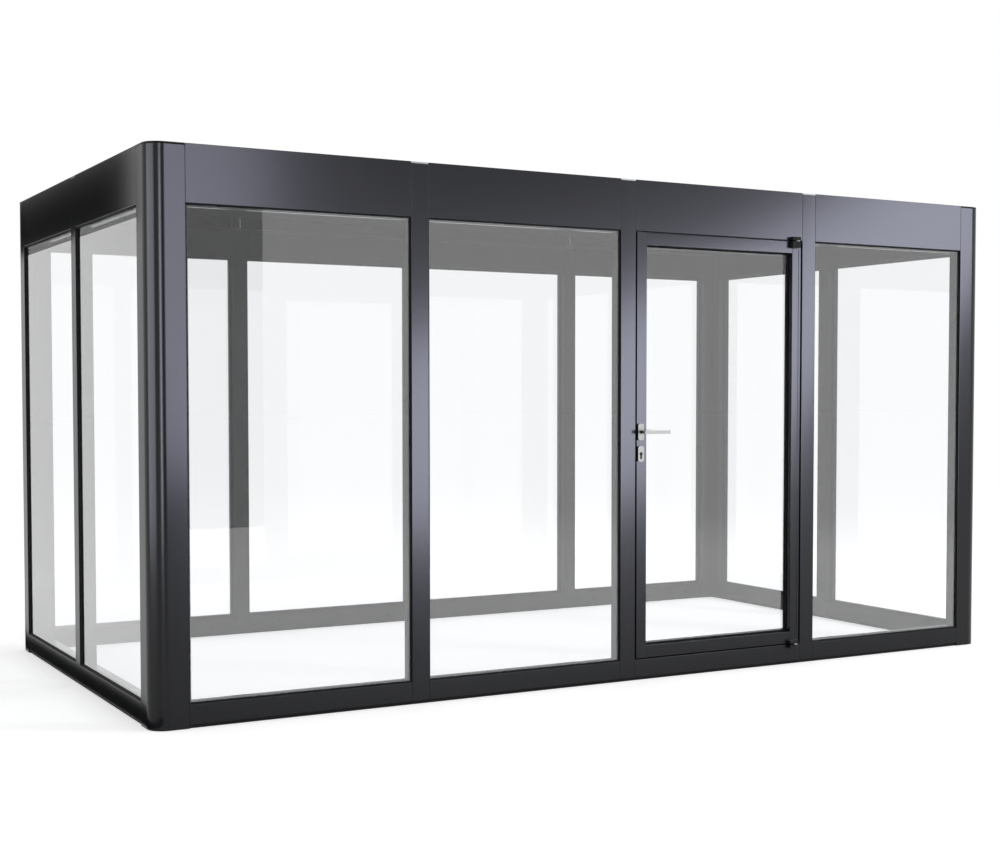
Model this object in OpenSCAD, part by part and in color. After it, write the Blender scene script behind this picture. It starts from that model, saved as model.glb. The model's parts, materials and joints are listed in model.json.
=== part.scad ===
// Flat-roofed glass greenhouse: dark aluminium posts, fascias and base rails hold full-height panes,
// with one hinged glass door in the front wall. Millimetres, +Z up, front wall towards -Y.
// The origin is the centre of the bounding box, handles included, at ground level.

/* [Bays] */
// Clear width of one glazed bay between posts
bay_w = 1016; // [700:1:1400]
// Bays in the front wall and in the rear wall
front_bays = 4; // [3:1:6]
// Bays in each side wall
side_bays = 2; // [1:1:4]
// Which front bay holds the door, counted from the left
door_bay = 3; // [1:1:3]

/* [Heights] */
// Height of the walls, ground to the top of the post caps
wall_h = 2400; // [2100:1:2900]
// Height of the fascia band at the head of the walls
fascia_h = 242; // [180:1:320]
// Height of the base rails
rail_h = 84; // [60:1:140]
// Height of the dark strip under the base rails
plinth_h = 16; // [8:1:30]

/* [Posts] */
// Width of an intermediate post on the wall face
post_w = 84; // [60:1:120]
// Depth of the posts, rails and fascias through the wall
post_d = 86; // [76:1:110]
// Length of each leg of a corner post
corner_leg = 158; // [140:1:220]
// Outer radius of the corner posts
corner_r = 75; // [20:1:76]
// Thickness of the cap plates on top of the posts
cap_t = 8; // [3:1:12]
// Setback of the dark strip from the wall face
plinth_setback = 10; // [4:1:20]

/* [Fascia inner side] */
// Depth of the channel in the inner side of the fascia
channel_d = 26; // [10:1:36]
// Height of the fascia above the bottom of the channel
channel_drop = 79; // [60:1:120]
// Thickness of the top edge of the fascia above the channel
fascia_lip = 16; // [10:1:24]
// Height of the ledge that runs round the inner side of the fascia
ledge_h = 12; // [6:1:20]
// Width of the ledge
ledge_w = 12; // [6:1:30]
// Gap between the bars of the ledge where they meet in the corners
ledge_gap = 1; // [0.5:0.5:3]

/* [Glazing] */
// Thickness of the glass
glass_t = 8; // [6:0.5:10]
// Setback of the fixed panes from the wall face
glass_setback = 11; // [8:1:30]
// Visible width of the rubber seal around a pane
seal_w = 6; // [4:0.5:12]
// Gap between the edge of a pane and the frame, filled by the seal
edge_gap = 3; // [2:0.5:3.5]
// Cover of the seal over each face of the glass
seal_cover = 4; // [2:0.5:6]

/* [Roof] */
// Width of the deck between the walls and the roof frame
deck_w = 400; // [250:1:500]
// Thickness of the deck
deck_t = 12; // [8:1:15]
// Width of the members of the roof frame
roof_bar_w = 60; // [50:1:90]
// Height of the roof frame
roof_bar_h = 76; // [50:1:120]
// Bearing of each roof pane on the roof frame
roof_bearing = 20; // [15:1:22]
// Depth of the pockets that hold the roof panes
roof_pocket = 10; // [10:0.5:14]
// Clearance around each roof pane in its pocket
roof_pane_gap = 2; // [1:0.5:4]

/* [Door] */
// Gap between the door and the post on the lock side
lock_gap = 8; // [7:1:12]
// Gap between the door and the post on the hinge side
hinge_gap = 10; // [8:1:14]
// Gap above and below the door
leaf_gap = 6; // [5.5:0.5:10]
// Depth of the door leaf
leaf_d = 48; // [44:1:52]
// Width of the door stiles
stile_w = 55; // [50:1:80]
// Height of the door rails
leaf_rail_h = 60; // [50:1:120]
// Setback of the door glass from the door face
leaf_glass_setback = 36; // [20:1:36]
// Height of the door stops above and below the doorway
stop_h = 18; // [12:1:25]
// Depth of the door stops, from the inner face of the wall
stop_d = 26; // [20:1:26]

/* [Hinges] */
// Distance of the pivot from the hinge edge of the door
pivot_inset = 29; // [25:1:34]
// Width of the hinge blocks
hinge_w = 52; // [44:1:70]
// How far the hinge blocks stand out from the door face
hinge_d = 24; // [20:1:30]
// Height of the arm of the top hinge on the door
top_arm_h = 33; // [20:1:50]
// Height of the arm of the bottom hinge on the door
bottom_arm_h = 17; // [14:1:40]
// Height of the hinge blocks on the wall
hinge_block_h = 16; // [10:1:30]
// Radius of the hinge pins
pin_r = 5; // [4:0.5:6]
// Radius of the collars on the hinge pins
collar_r = 10; // [8:0.5:11.5]
// Running clearance between a pin and its bore
pin_clear = 0.05; // [0.02:0.01:0.1]

/* [Handle] */
// Height of the lever spindle above the ground
lever_z = 1198; // [900:1:1300]
// Distance of the spindle from the lock edge of the door
backset = 19; // [18:1:30]
// Width of the rose and of the escutcheon
rose_w = 33; // [28:1:34]
// Height of the rose
rose_h = 79; // [60:1:100]
// Height of the escutcheon
escutcheon_h = 74; // [60:1:80]
// Thickness of the rose and of the escutcheon
rose_t = 9; // [6:1:12]
// Corner radius of the rose and of the escutcheon
plate_r = 10; // [4:1:13]
// Distance from the spindle down to the key cylinder
key_drop = 105; // [90:1:120]
// How far the levers stand out from the door
lever_reach = 58; // [45:1:70]
// Length of a lever from its spindle to its tip
lever_l = 138; // [100:1:150]
// Height of the lever bar
lever_h = 18; // [14:1:22]
// Thickness of the lever bar
lever_t = 13; // [8:1:16]
// Radius of the spindle
spindle_r = 4; // [3:0.5:5]
// Gap between a lever's neck and its rose
neck_gap = 0.3; // [0.2:0.1:1]
// Radius of the round part of the key cylinder
key_r = 8.5; // [8:0.5:9]
// Width of the lower part of the key cylinder
key_w = 10; // [8:0.5:10]
// Height of the key cylinder
key_h = 33; // [30:1:36]

/* [Hidden] */
$fn = 64;
bay_pitch = bay_w + post_w;
overall_w = 2 * corner_leg + front_bays * bay_w + (front_bays - 1) * post_w;
overall_d = 2 * corner_leg + side_bays * bay_w + (side_bays - 1) * post_w;
rail_top = plinth_h + rail_h;
fascia_z = wall_h - fascia_h;
bay_h = fascia_z - rail_top;
post_top = wall_h - cap_t;
channel_z = wall_h - channel_drop;
deck_z = wall_h - fascia_lip;
roof_in = post_d + deck_w;
roof_top = deck_z + roof_bar_h;
front_glazed = [for (i = [0:front_bays - 1]) if (i != door_bay - 1) i];
all_front = [for (i = [0:front_bays - 1]) i];
all_side = [for (i = [0:side_bays - 1]) i];

leaf_x0 = corner_leg + (door_bay - 1) * bay_pitch + lock_gap;
leaf_x1 = corner_leg + (door_bay - 1) * bay_pitch + bay_w - hinge_gap;
leaf_z0 = rail_top + leaf_gap;
leaf_z1 = fascia_z - leaf_gap;
leaf_h = leaf_z1 - leaf_z0;
leaf_open_w = leaf_x1 - leaf_x0 - 2 * stile_w;
leaf_open_h = leaf_h - 2 * leaf_rail_h;
pivot_x = leaf_x1 - pivot_inset;
pivot_y = -hinge_d / 2;
hinge_x0 = pivot_x + collar_r - hinge_w;
collar_h = leaf_gap - neck_gap;
pin_in_arm = 12;
pin_in_block = 8;
spindle_x = leaf_x0 + backset;
key_z = lever_z - key_drop;
neck_r = lever_h / 2;
spindle_hole_r = spindle_r + 0.1;

anthracite = "#3b3e43";
black = "#17181a";
light_metal = "#c9cbcc";
clear_glass = "#cfe3e6";

// ---- Placing ----

// Left edge of a bay, measured along its wall from the corner.
function bay_x(i) = corner_leg + i * bay_pitch;

// Left edge of an intermediate post, measured along its wall from the corner.
function post_x(i) = bay_x(i) + bay_w;

// Everything is drawn from the front left ground corner, and this moves it to the origin.
module set_out() {
    translate([-overall_w / 2, -(overall_d - lever_reach) / 2, 0]) children();
}

module on_rear() {
    translate([0, overall_d, 0]) mirror([0, 1, 0]) children();
}

module on_left() {
    mirror([1, -1, 0]) children();
}

module on_right() {
    translate([overall_w, 0, 0]) mirror([1, 0, 0]) on_left() children();
}

// ---- Shapes that repeat ----

// Outline of a corner post: two legs with a rounded outer corner.
module corner_profile() {
    difference() {
        union() {
            square([corner_leg, post_d]);
            square([post_d, corner_leg]);
        }
        difference() {
            translate([-1, -1]) square(corner_r + 1);
            translate([corner_r, corner_r]) circle(corner_r);
        }
    }
}

module corner_stack(z, h) {
    translate([0, 0, z]) linear_extrude(h) corner_profile();
}

module front_left_corner(z, h) {
    corner_stack(z, h);
}

module front_right_corner(z, h) {
    translate([overall_w, 0, 0]) mirror([1, 0, 0]) corner_stack(z, h);
}

module rear_left_corner(z, h) {
    on_rear() corner_stack(z, h);
}

module rear_right_corner(z, h) {
    on_rear() front_right_corner(z, h);
}

// One piece of every intermediate post of a wall with this many bays.
module along_posts(bays, z, h) {
    for (i = [0:bays - 2]) {
        translate([post_x(i), 0, z]) cube([post_w, post_d, h]);
    }
}

// The fascia panels of a wall: each fills the depth of the wall and has a channel inside.
module fascia_run(bays) {
    for (i = [0:bays - 1]) {
        translate([bay_x(i), 0, 0]) difference() {
            translate([0, 0, fascia_z]) cube([bay_w, post_d, fascia_h]);
            translate([-1, post_d - channel_d, channel_z])
                cube([bay_w + 2, channel_d + 1, deck_z - channel_z]);
        }
    }
}

module rail_run(bays) {
    for (i = [0:bays - 1]) {
        translate([bay_x(i), 0, plinth_h]) cube([bay_w, post_d, rail_h]);
    }
}

module strip_run(run_w) {
    translate([corner_leg, plinth_setback, 0])
        cube([run_w - 2 * corner_leg, post_d - 2 * plinth_setback, plinth_h]);
}

// A ledge bar on the inner face of a wall, which stops short of the corners by the given inset.
module ledge_bar(run_w, inset) {
    translate([inset, post_d, channel_z - ledge_h]) cube([run_w - 2 * inset, ledge_w, ledge_h]);
}

// A pane that stands in an opening of w by h, its outer face at y.
module pane(w, h, y) {
    translate([edge_gap, y, edge_gap]) cube([w - 2 * edge_gap, glass_t, h - 2 * edge_gap]);
}

// The seal that holds this pane: it fills the opening's edge and covers the pane's rim.
module seal(w, h, y) {
    difference() {
        translate([0, y - seal_cover, 0]) cube([w, glass_t + 2 * seal_cover, h]);
        translate([seal_w, y - seal_cover - 1, seal_w])
            cube([w - 2 * seal_w, glass_t + 2 * seal_cover + 2, h - 2 * seal_w]);
        pane(w, h, y);
    }
}

module pane_run(bays) {
    for (i = bays) {
        translate([bay_x(i), 0, rail_top]) pane(bay_w, bay_h, glass_setback);
    }
}

module seal_run(bays) {
    for (i = bays) {
        translate([bay_x(i), 0, rail_top]) seal(bay_w, bay_h, glass_setback);
    }
}

// A plate with rounded corners in the wall's plane, centred on the x and z given.
module rounded_plate(x, z, w, h, y, t) {
    translate([x, y + t, z]) rotate([90, 0, 0]) linear_extrude(t) {
        for (sx = [-1, 1], sz = [-1, 1]) {
            translate([sx * (w / 2 - plate_r), sz * (h / 2 - plate_r)]) circle(plate_r);
        }
        square([w, h - 2 * plate_r], center = true);
        square([w - 2 * plate_r, h], center = true);
    }
}

// A round bar through the wall, from y to y + len.
module cross_bar(x, z, r, y, len) {
    translate([x, y + len, z]) rotate([90, 0, 0]) cylinder(h = len, r = r);
}

// The outline of the key cylinder, a round barrel over a narrower foot.
module key_profile(y, len) {
    cross_bar(spindle_x, key_z, key_r, y, len);
    translate([spindle_x - key_w / 2, y, key_z + key_r - key_h]) cube([key_w, len, key_h - key_r]);
}

// ---- Roof ----

module roof_ring(inset, ring_w, z, h) {
    translate([inset, inset, z]) difference() {
        cube([overall_w - 2 * inset, overall_d - 2 * inset, h]);
        translate([ring_w, ring_w, -1])
            cube([overall_w - 2 * (inset + ring_w), overall_d - 2 * (inset + ring_w), h + 2]);
    }
}

// Left and right edge of the clear opening of roof bay i.
function roof_cell_x0(i) = i == 0 ? roof_in + roof_bar_w : post_x(i - 1) + (post_w + roof_bar_w) / 2;
function roof_cell_x1(i) = i == front_bays - 1
    ? overall_w - roof_in - roof_bar_w
    : post_x(i) + (post_w - roof_bar_w) / 2;

// A flat piece over roof bay i, reaching past the clear opening by the given bearing.
module over_roof_cell(i, bearing, z, h) {
    x0 = roof_cell_x0(i) - bearing;
    y0 = roof_in + roof_bar_w - bearing;
    translate([x0, y0, z]) cube([roof_cell_x1(i) + bearing - x0, overall_d - 2 * y0, h]);
}

// ---- Hinges ----

module hinge_body(z, h) {
    translate([hinge_x0, -hinge_d, z]) cube([hinge_w, hinge_d, h]);
}

module pivot(z, h, r) {
    translate([pivot_x, pivot_y, z]) cylinder(h = h, r = r);
}

// ---- Handle ----

// The bar of a lever, its near face at y.
module lever_bar(y) {
    translate([spindle_x, y + lever_t, lever_z]) rotate([90, 0, 0]) linear_extrude(lever_t) {
        circle(lever_h / 2);
        translate([0, -lever_h / 2]) square([lever_l - lever_h / 2, lever_h]);
        translate([lever_l - lever_h / 2, 0]) circle(lever_h / 2);
    }
}

// ---- Sub-parts: walls ----

module corner_post_front_left() {
    color(anthracite) set_out() front_left_corner(0, post_top);
}

module corner_post_front_right() {
    color(anthracite) set_out() front_right_corner(0, post_top);
}

module corner_post_rear_left() {
    color(anthracite) set_out() rear_left_corner(0, post_top);
}

module corner_post_rear_right() {
    color(anthracite) set_out() rear_right_corner(0, post_top);
}

module corner_caps() {
    color(black) set_out() {
        front_left_corner(post_top, cap_t);
        front_right_corner(post_top, cap_t);
        rear_left_corner(post_top, cap_t);
        rear_right_corner(post_top, cap_t);
    }
}

module front_posts() {
    color(anthracite) set_out() along_posts(front_bays, plinth_h, post_top - plinth_h);
}

module rear_posts() {
    color(anthracite) set_out() on_rear() along_posts(front_bays, plinth_h, post_top - plinth_h);
}

module side_posts() {
    color(anthracite) set_out() {
        on_left() along_posts(side_bays, plinth_h, post_top - plinth_h);
        on_right() along_posts(side_bays, plinth_h, post_top - plinth_h);
    }
}

module post_caps() {
    color(light_metal) set_out() {
        along_posts(front_bays, post_top, cap_t);
        on_rear() along_posts(front_bays, post_top, cap_t);
        on_left() along_posts(side_bays, post_top, cap_t);
        on_right() along_posts(side_bays, post_top, cap_t);
    }
}

module front_fascia() {
    color(anthracite) set_out() fascia_run(front_bays);
}

module rear_fascia() {
    color(anthracite) set_out() on_rear() fascia_run(front_bays);
}

module left_fascia() {
    color(anthracite) set_out() on_left() fascia_run(side_bays);
}

module right_fascia() {
    color(anthracite) set_out() on_right() fascia_run(side_bays);
}

// Two long bars run from side wall to side wall, and two shorter ones fit between them.
module roof_ledge() {
    color(anthracite) set_out() {
        ledge_bar(overall_w, post_d);
        on_rear() ledge_bar(overall_w, post_d);
        on_left() ledge_bar(overall_d, post_d + ledge_w + ledge_gap);
        on_right() ledge_bar(overall_d, post_d + ledge_w + ledge_gap);
    }
}

module front_rail() {
    color(anthracite) set_out() rail_run(front_bays);
}

module rear_rail() {
    color(anthracite) set_out() on_rear() rail_run(front_bays);
}

module left_rail() {
    color(anthracite) set_out() on_left() rail_run(side_bays);
}

module right_rail() {
    color(anthracite) set_out() on_right() rail_run(side_bays);
}

module ground_strips() {
    color(black) set_out() {
        strip_run(overall_w);
        on_rear() strip_run(overall_w);
        on_left() strip_run(overall_d);
        on_right() strip_run(overall_d);
    }
}

module front_glass() {
    color(clear_glass, 0.35) set_out() pane_run(front_glazed);
}

module rear_glass() {
    color(clear_glass, 0.35) set_out() on_rear() pane_run(all_front);
}

module left_glass() {
    color(clear_glass, 0.35) set_out() on_left() pane_run(all_side);
}

module right_glass() {
    color(clear_glass, 0.35) set_out() on_right() pane_run(all_side);
}

module front_seals() {
    color(black) set_out() seal_run(front_glazed);
}

module rear_seals() {
    color(black) set_out() on_rear() seal_run(all_front);
}

module left_seals() {
    color(black) set_out() on_left() seal_run(all_side);
}

module right_seals() {
    color(black) set_out() on_right() seal_run(all_side);
}

// ---- Sub-parts: roof ----

module roof_deck() {
    color(anthracite) set_out() roof_ring(post_d, deck_w, deck_z, deck_t);
}

// The frame of the glazed part of the roof, with a pocket for each pane.
module roof_frame() {
    color(anthracite) set_out() difference() {
        translate([roof_in, roof_in, deck_z])
            cube([overall_w - 2 * roof_in, overall_d - 2 * roof_in, roof_bar_h]);
        for (i = all_front) {
            over_roof_cell(i, 0, deck_z - 1, roof_bar_h + 2);
            over_roof_cell(i, roof_bearing, roof_top - roof_pocket, roof_pocket + 1);
        }
    }
}

module roof_glass() {
    color(clear_glass, 0.35) set_out() {
        for (i = all_front) {
            over_roof_cell(i, roof_bearing - roof_pane_gap, roof_top - roof_pocket, glass_t);
        }
    }
}

// ---- Sub-parts: doorway and hinges ----

module door_stops() {
    color(anthracite) set_out() {
        for (z = [rail_top, fascia_z - stop_h]) {
            translate([bay_x(door_bay - 1), post_d - stop_d, z]) cube([bay_w, stop_d, stop_h]);
        }
    }
}

module hinge_blocks() {
    color(black) set_out() difference() {
        union() {
            hinge_body(fascia_z, hinge_block_h);
            hinge_body(rail_top - hinge_block_h, hinge_block_h);
        }
        pivot(fascia_z - 1, pin_in_block + 1, pin_r);
        pivot(rail_top - pin_in_block, pin_in_block + 1, pin_r);
    }
}

// Each pin stands in its block, and its collar fills the gap to the arm on the door.
module hinge_pins() {
    color(light_metal) set_out() {
        pivot(leaf_z1 - pin_in_arm, pin_in_arm + leaf_gap + pin_in_block, pin_r);
        pivot(fascia_z - collar_h, collar_h, collar_r);
        pivot(rail_top - pin_in_block, pin_in_block + leaf_gap + pin_in_arm, pin_r);
        pivot(rail_top, collar_h, collar_r);
    }
}

// ---- Sub-parts: door ----

module door_lock_stile() {
    color(anthracite) set_out() difference() {
        translate([leaf_x0, 0, leaf_z0]) cube([stile_w, leaf_d, leaf_h]);
        cross_bar(spindle_x, lever_z, spindle_hole_r, -1, leaf_d + 2);
        key_profile(-1, leaf_d + 2);
    }
}

module door_hinge_stile() {
    color(anthracite) set_out() translate([leaf_x1 - stile_w, 0, leaf_z0])
        cube([stile_w, leaf_d, leaf_h]);
}

module door_top_rail() {
    color(anthracite) set_out() translate([leaf_x0 + stile_w, 0, leaf_z1 - leaf_rail_h])
        cube([leaf_open_w, leaf_d, leaf_rail_h]);
}

module door_bottom_rail() {
    color(anthracite) set_out() translate([leaf_x0 + stile_w, 0, leaf_z0])
        cube([leaf_open_w, leaf_d, leaf_rail_h]);
}

module door_glass() {
    color(clear_glass, 0.35) set_out() translate([leaf_x0 + stile_w, 0, leaf_z0 + leaf_rail_h])
        pane(leaf_open_w, leaf_open_h, leaf_glass_setback);
}

module door_seal() {
    color(black) set_out() translate([leaf_x0 + stile_w, 0, leaf_z0 + leaf_rail_h])
        seal(leaf_open_w, leaf_open_h, leaf_glass_setback);
}

module door_hinge_arms() {
    color(black) set_out() difference() {
        union() {
            hinge_body(leaf_z1 - top_arm_h, top_arm_h);
            hinge_body(leaf_z0, bottom_arm_h);
        }
        pivot(leaf_z1 - pin_in_arm - neck_gap, pin_in_arm + neck_gap + 1, pin_r + pin_clear);
        pivot(leaf_z0 - 1, pin_in_arm + neck_gap + 1, pin_r + pin_clear);
    }
}

module handle_roses() {
    color(light_metal) set_out() difference() {
        union() {
            rounded_plate(spindle_x, lever_z, rose_w, rose_h, -rose_t, rose_t);
            rounded_plate(spindle_x, lever_z, rose_w, rose_h, leaf_d, rose_t);
        }
        cross_bar(spindle_x, lever_z, spindle_hole_r, -rose_t - 1, leaf_d + 2 * rose_t + 2);
    }
}

module lock_escutcheons() {
    color(light_metal) set_out() difference() {
        union() {
            rounded_plate(spindle_x, key_z, rose_w, escutcheon_h, -rose_t, rose_t);
            rounded_plate(spindle_x, key_z, rose_w, escutcheon_h, leaf_d, rose_t);
        }
        key_profile(-rose_t - 1, leaf_d + 2 * rose_t + 2);
    }
}

module lock_cylinder() {
    color(black) set_out() key_profile(-rose_t, leaf_d + 2 * rose_t);
}

// ---- Sub-parts: levers ----

// The outer lever carries the spindle, which runs through the door to the inner lever's neck.
module outer_lever() {
    neck_y = -rose_t - neck_gap;
    color(light_metal) set_out() {
        lever_bar(-lever_reach);
        cross_bar(spindle_x, lever_z, neck_r, -lever_reach, lever_reach + neck_y);
        cross_bar(spindle_x, lever_z, spindle_r, neck_y - 1, leaf_d - 2 * neck_y + 1);
    }
}

module inner_lever() {
    neck_y = leaf_d + rose_t + neck_gap;
    color(light_metal) set_out() {
        lever_bar(leaf_d + lever_reach - lever_t);
        cross_bar(spindle_x, lever_z, neck_r, neck_y, leaf_d + lever_reach - neck_y);
    }
}

corner_post_front_left();
corner_post_front_right();
corner_post_rear_left();
corner_post_rear_right();
corner_caps();
front_posts();
rear_posts();
side_posts();
post_caps();
front_fascia();
rear_fascia();
left_fascia();
right_fascia();
roof_ledge();
front_rail();
rear_rail();
left_rail();
right_rail();
ground_strips();
front_glass();
rear_glass();
left_glass();
right_glass();
front_seals();
rear_seals();
left_seals();
right_seals();
roof_deck();
roof_frame();
roof_glass();
door_stops();
hinge_blocks();
hinge_pins();
door_lock_stile();
door_hinge_stile();
door_top_rail();
door_bottom_rail();
door_glass();
door_seal();
door_hinge_arms();
handle_roses();
lock_escutcheons();
lock_cylinder();
outer_lever();
inner_lever();
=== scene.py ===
"""Dresses a flat-roofed glass greenhouse: finishes, eased profiles, fittings, and a plain studio."""

import json
import logging
import math
from dataclasses import dataclass, field
from enum import Enum
from typing import Callable, Iterable, Sequence

import bmesh
import bpy
from mathutils import Matrix, Vector

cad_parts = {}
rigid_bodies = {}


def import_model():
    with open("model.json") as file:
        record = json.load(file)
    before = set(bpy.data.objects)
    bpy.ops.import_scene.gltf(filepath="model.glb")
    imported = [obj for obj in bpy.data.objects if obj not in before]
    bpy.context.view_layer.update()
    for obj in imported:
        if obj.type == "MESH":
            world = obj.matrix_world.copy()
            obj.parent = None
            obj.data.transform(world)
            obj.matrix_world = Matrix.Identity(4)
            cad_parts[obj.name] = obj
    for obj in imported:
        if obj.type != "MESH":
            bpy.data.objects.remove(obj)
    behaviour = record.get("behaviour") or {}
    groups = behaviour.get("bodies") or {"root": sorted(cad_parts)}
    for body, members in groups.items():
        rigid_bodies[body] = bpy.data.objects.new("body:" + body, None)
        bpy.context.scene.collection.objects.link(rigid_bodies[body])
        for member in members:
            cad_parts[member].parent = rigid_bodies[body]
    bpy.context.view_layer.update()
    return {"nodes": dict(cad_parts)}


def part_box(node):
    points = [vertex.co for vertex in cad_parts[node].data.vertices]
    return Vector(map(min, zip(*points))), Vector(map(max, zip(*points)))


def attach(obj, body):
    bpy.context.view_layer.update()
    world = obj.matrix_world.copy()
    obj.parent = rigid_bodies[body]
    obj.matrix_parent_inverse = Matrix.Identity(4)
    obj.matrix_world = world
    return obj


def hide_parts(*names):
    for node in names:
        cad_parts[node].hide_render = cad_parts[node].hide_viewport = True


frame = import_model()
LOG = logging.getLogger("greenhouse")
MM = 0.001


class Body(Enum):
    """The rigid bodies that pieces ride on."""

    HOUSE = "house"
    DOOR = "door"
    LEVER = "lever"


def linear(hex_colour: str) -> tuple[float, float, float, float]:
    """Turns an sRGB hex colour into linear RGBA.

    Args:
        hex_colour: Six hex digits after a hash sign.

    Returns:
        The colour as four linear values, with full opacity.
    """
    channels = [int(hex_colour[i : i + 2], 16) / 255 for i in (1, 3, 5)]
    low = [c / 12.92 if c <= 0.04045 else ((c + 0.055) / 1.055) ** 2.4 for c in channels]
    return (low[0], low[1], low[2], 1.0)


def add_node(
    tree: bpy.types.NodeTree,
    kind: str,
    settings: dict[str, object] | None = None,
    links: dict[str | int, bpy.types.NodeSocket] | None = None,
) -> bpy.types.Node:
    """Adds a shader node with its settings and its incoming links.

    Args:
        tree: The node tree that takes the node.
        kind: The node's type name.
        settings: Attributes by name, and input values under the input's name or number.
        links: Sockets to connect, under the name or number of the input that each feeds.

    Returns:
        The new node.
    """
    node = tree.nodes.new(kind)
    for key, value in (settings or {}).items():
        if isinstance(key, str) and hasattr(node, key):
            setattr(node, key, value)
        else:
            node.inputs[key].default_value = value
    for key, socket in (links or {}).items():
        tree.links.new(socket, node.inputs[key])
    return node


# ---- Finishes ----


@dataclass(frozen=True)
class Finish:
    """An opaque finish: a body colour, its gloss, and a fine grain in both."""

    name: str
    colour: str
    shade: str
    roughness: float
    metallic: float = 0.0
    specular: float = 0.5
    grain_mm: float = 1.2
    bump: float = 0.05
    roughness_spread: float = 0.05
    stretch: tuple[float, float, float] = (1.0, 1.0, 1.0)
    coat: float = 0.0

    def material(self) -> bpy.types.Material:
        """Builds the material once and returns it each time.

        Returns:
            The Blender material of this finish.
        """
        known = bpy.data.materials.get(self.name)
        if known:
            return known
        made = bpy.data.materials.new(self.name)
        made.use_nodes = True
        tree = made.node_tree
        tree.nodes.clear()
        place = add_node(tree, "ShaderNodeTexCoord")
        mapped = add_node(tree, "ShaderNodeMapping", {"Scale": self.stretch}, {0: place.outputs["Object"]})
        grain = add_node(
            tree,
            "ShaderNodeTexNoise",
            {"Scale": 1.0 / (self.grain_mm * MM), "Detail": 2.0},
            {"Vector": mapped.outputs[0]},
        )
        cloud = add_node(
            tree, "ShaderNodeTexNoise", {"Scale": 1.6, "Detail": 3.0}, {"Vector": place.outputs["Object"]}
        )
        tint = add_node(
            tree,
            "ShaderNodeMix",
            {"data_type": "RGBA", 6: linear(self.colour), 7: linear(self.shade)},
            {0: cloud.outputs[0]},
        )
        gloss = add_node(
            tree,
            "ShaderNodeMapRange",
            {
                "To Min": max(0.02, self.roughness - self.roughness_spread),
                "To Max": self.roughness + self.roughness_spread,
            },
            {"Value": grain.outputs[0]},
        )
        relief = add_node(
            tree,
            "ShaderNodeBump",
            {"Strength": self.bump, "Distance": 0.3 * MM},
            {"Height": grain.outputs[0]},
        )
        shader = add_node(
            tree,
            "ShaderNodeBsdfPrincipled",
            {
                "Metallic": self.metallic,
                "Specular IOR Level": self.specular,
                "Coat Weight": self.coat,
                "Coat Roughness": 0.08,
            },
            {
                "Base Color": tint.outputs[2],
                "Roughness": gloss.outputs[0],
                "Normal": relief.outputs[0],
            },
        )
        add_node(tree, "ShaderNodeOutputMaterial", {}, {"Surface": shader.outputs[0]})
        return made


@dataclass(frozen=True)
class FloatGlass:
    """Clear toughened float glass: colourless face on, and it lets daylight through to the ground."""

    name: str = "toughened_float_glass"
    tint: str = "#FCFDFE"
    ior: float = 1.5

    def material(self) -> bpy.types.Material:
        """Builds the material once and returns it each time.

        Returns:
            The Blender material of the glass.
        """
        known = bpy.data.materials.get(self.name)
        if known:
            return known
        made = bpy.data.materials.new(self.name)
        made.use_nodes = True
        tree = made.node_tree
        tree.nodes.clear()
        place = add_node(tree, "ShaderNodeTexCoord")
        # Toughening leaves a slow wave in the sheet, a hand's breadth from crest to crest.
        wave = add_node(
            tree, "ShaderNodeTexNoise", {"Scale": 9.0, "Detail": 0.0}, {"Vector": place.outputs["Object"]}
        )
        relief = add_node(
            tree, "ShaderNodeBump", {"Strength": 0.02, "Distance": 0.5 * MM}, {"Height": wave.outputs[0]}
        )
        sheet = add_node(
            tree,
            "ShaderNodeBsdfPrincipled",
            {
                "Base Color": linear(self.tint),
                "Transmission Weight": 1.0,
                "Roughness": 0.0,
                "IOR": self.ior,
            },
            {"Normal": relief.outputs[0]},
        )
        passing = add_node(tree, "ShaderNodeBsdfTransparent", {"Color": linear(self.tint)})
        path = add_node(tree, "ShaderNodeLightPath")
        through = add_node(
            tree,
            "ShaderNodeMath",
            {"operation": "MAXIMUM"},
            {0: path.outputs["Is Shadow Ray"], 1: path.outputs["Is Diffuse Ray"]},
        )
        both = add_node(
            tree,
            "ShaderNodeMixShader",
            {},
            {0: through.outputs[0], 1: sheet.outputs[0], 2: passing.outputs[0]},
        )
        add_node(tree, "ShaderNodeOutputMaterial", {}, {"Surface": both.outputs[0]})
        return made


# Polyester powder baked on extruded aluminium: a satin near-black with a faint orange peel.
POWDER_COAT = Finish(
    "powder_coated_aluminium", "#131416", "#17181A", 0.18, specular=0.2, bump=0.03, roughness_spread=0.03
)
# The same powder on folded sheet, a little flatter in sheen.
COATED_SHEET = Finish("powder_coated_sheet", "#151618", "#1A1B1D", 0.3, specular=0.22)
# Thin plate coated nearly black, so that the post heads read as a dark line.
CAP_COAT = Finish("black_coated_plate", "#0E0F10", "#131415", 0.4, specular=0.22)
# Mill-finish extrusion: bare drawn metal, light grey with fine lines along its length.
MILL_ALUMINIUM = Finish(
    "mill_finish_aluminium", "#B4B7B9", "#A6A9AC", 0.38, metallic=0.9, grain_mm=0.8, stretch=(1, 6, 6)
)
# Extruded ethylene-propylene-diene rubber: dull black that hardly catches the light. On the key slots the same
# black is painted shade for the slot's recess.
EPDM_AND_SHADE = Finish("extruded_epdm_rubber", "#101112", "#151617", 0.75, specular=0.3, grain_mm=0.6, bump=0.15)
# Die-cast zinc coated black, with the tight sheen of a thin e-coat. On the lever necks and the rims of the
# handle plates the same black is painted shade for their dark reflections.
CAST_ZINC_AND_SHADE = Finish("black_coated_cast_zinc", "#0D0E0F", "#121314", 0.3, specular=0.25, grain_mm=0.7, bump=0.08)
# Turned steel pins and collars, ringed by the lathe tool.
TURNED_STEEL = Finish(
    "turned_steel", "#B9BBBC", "#A9ABAD", 0.3, metallic=1.0, grain_mm=0.3, stretch=(1, 1, 8)
)
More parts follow.
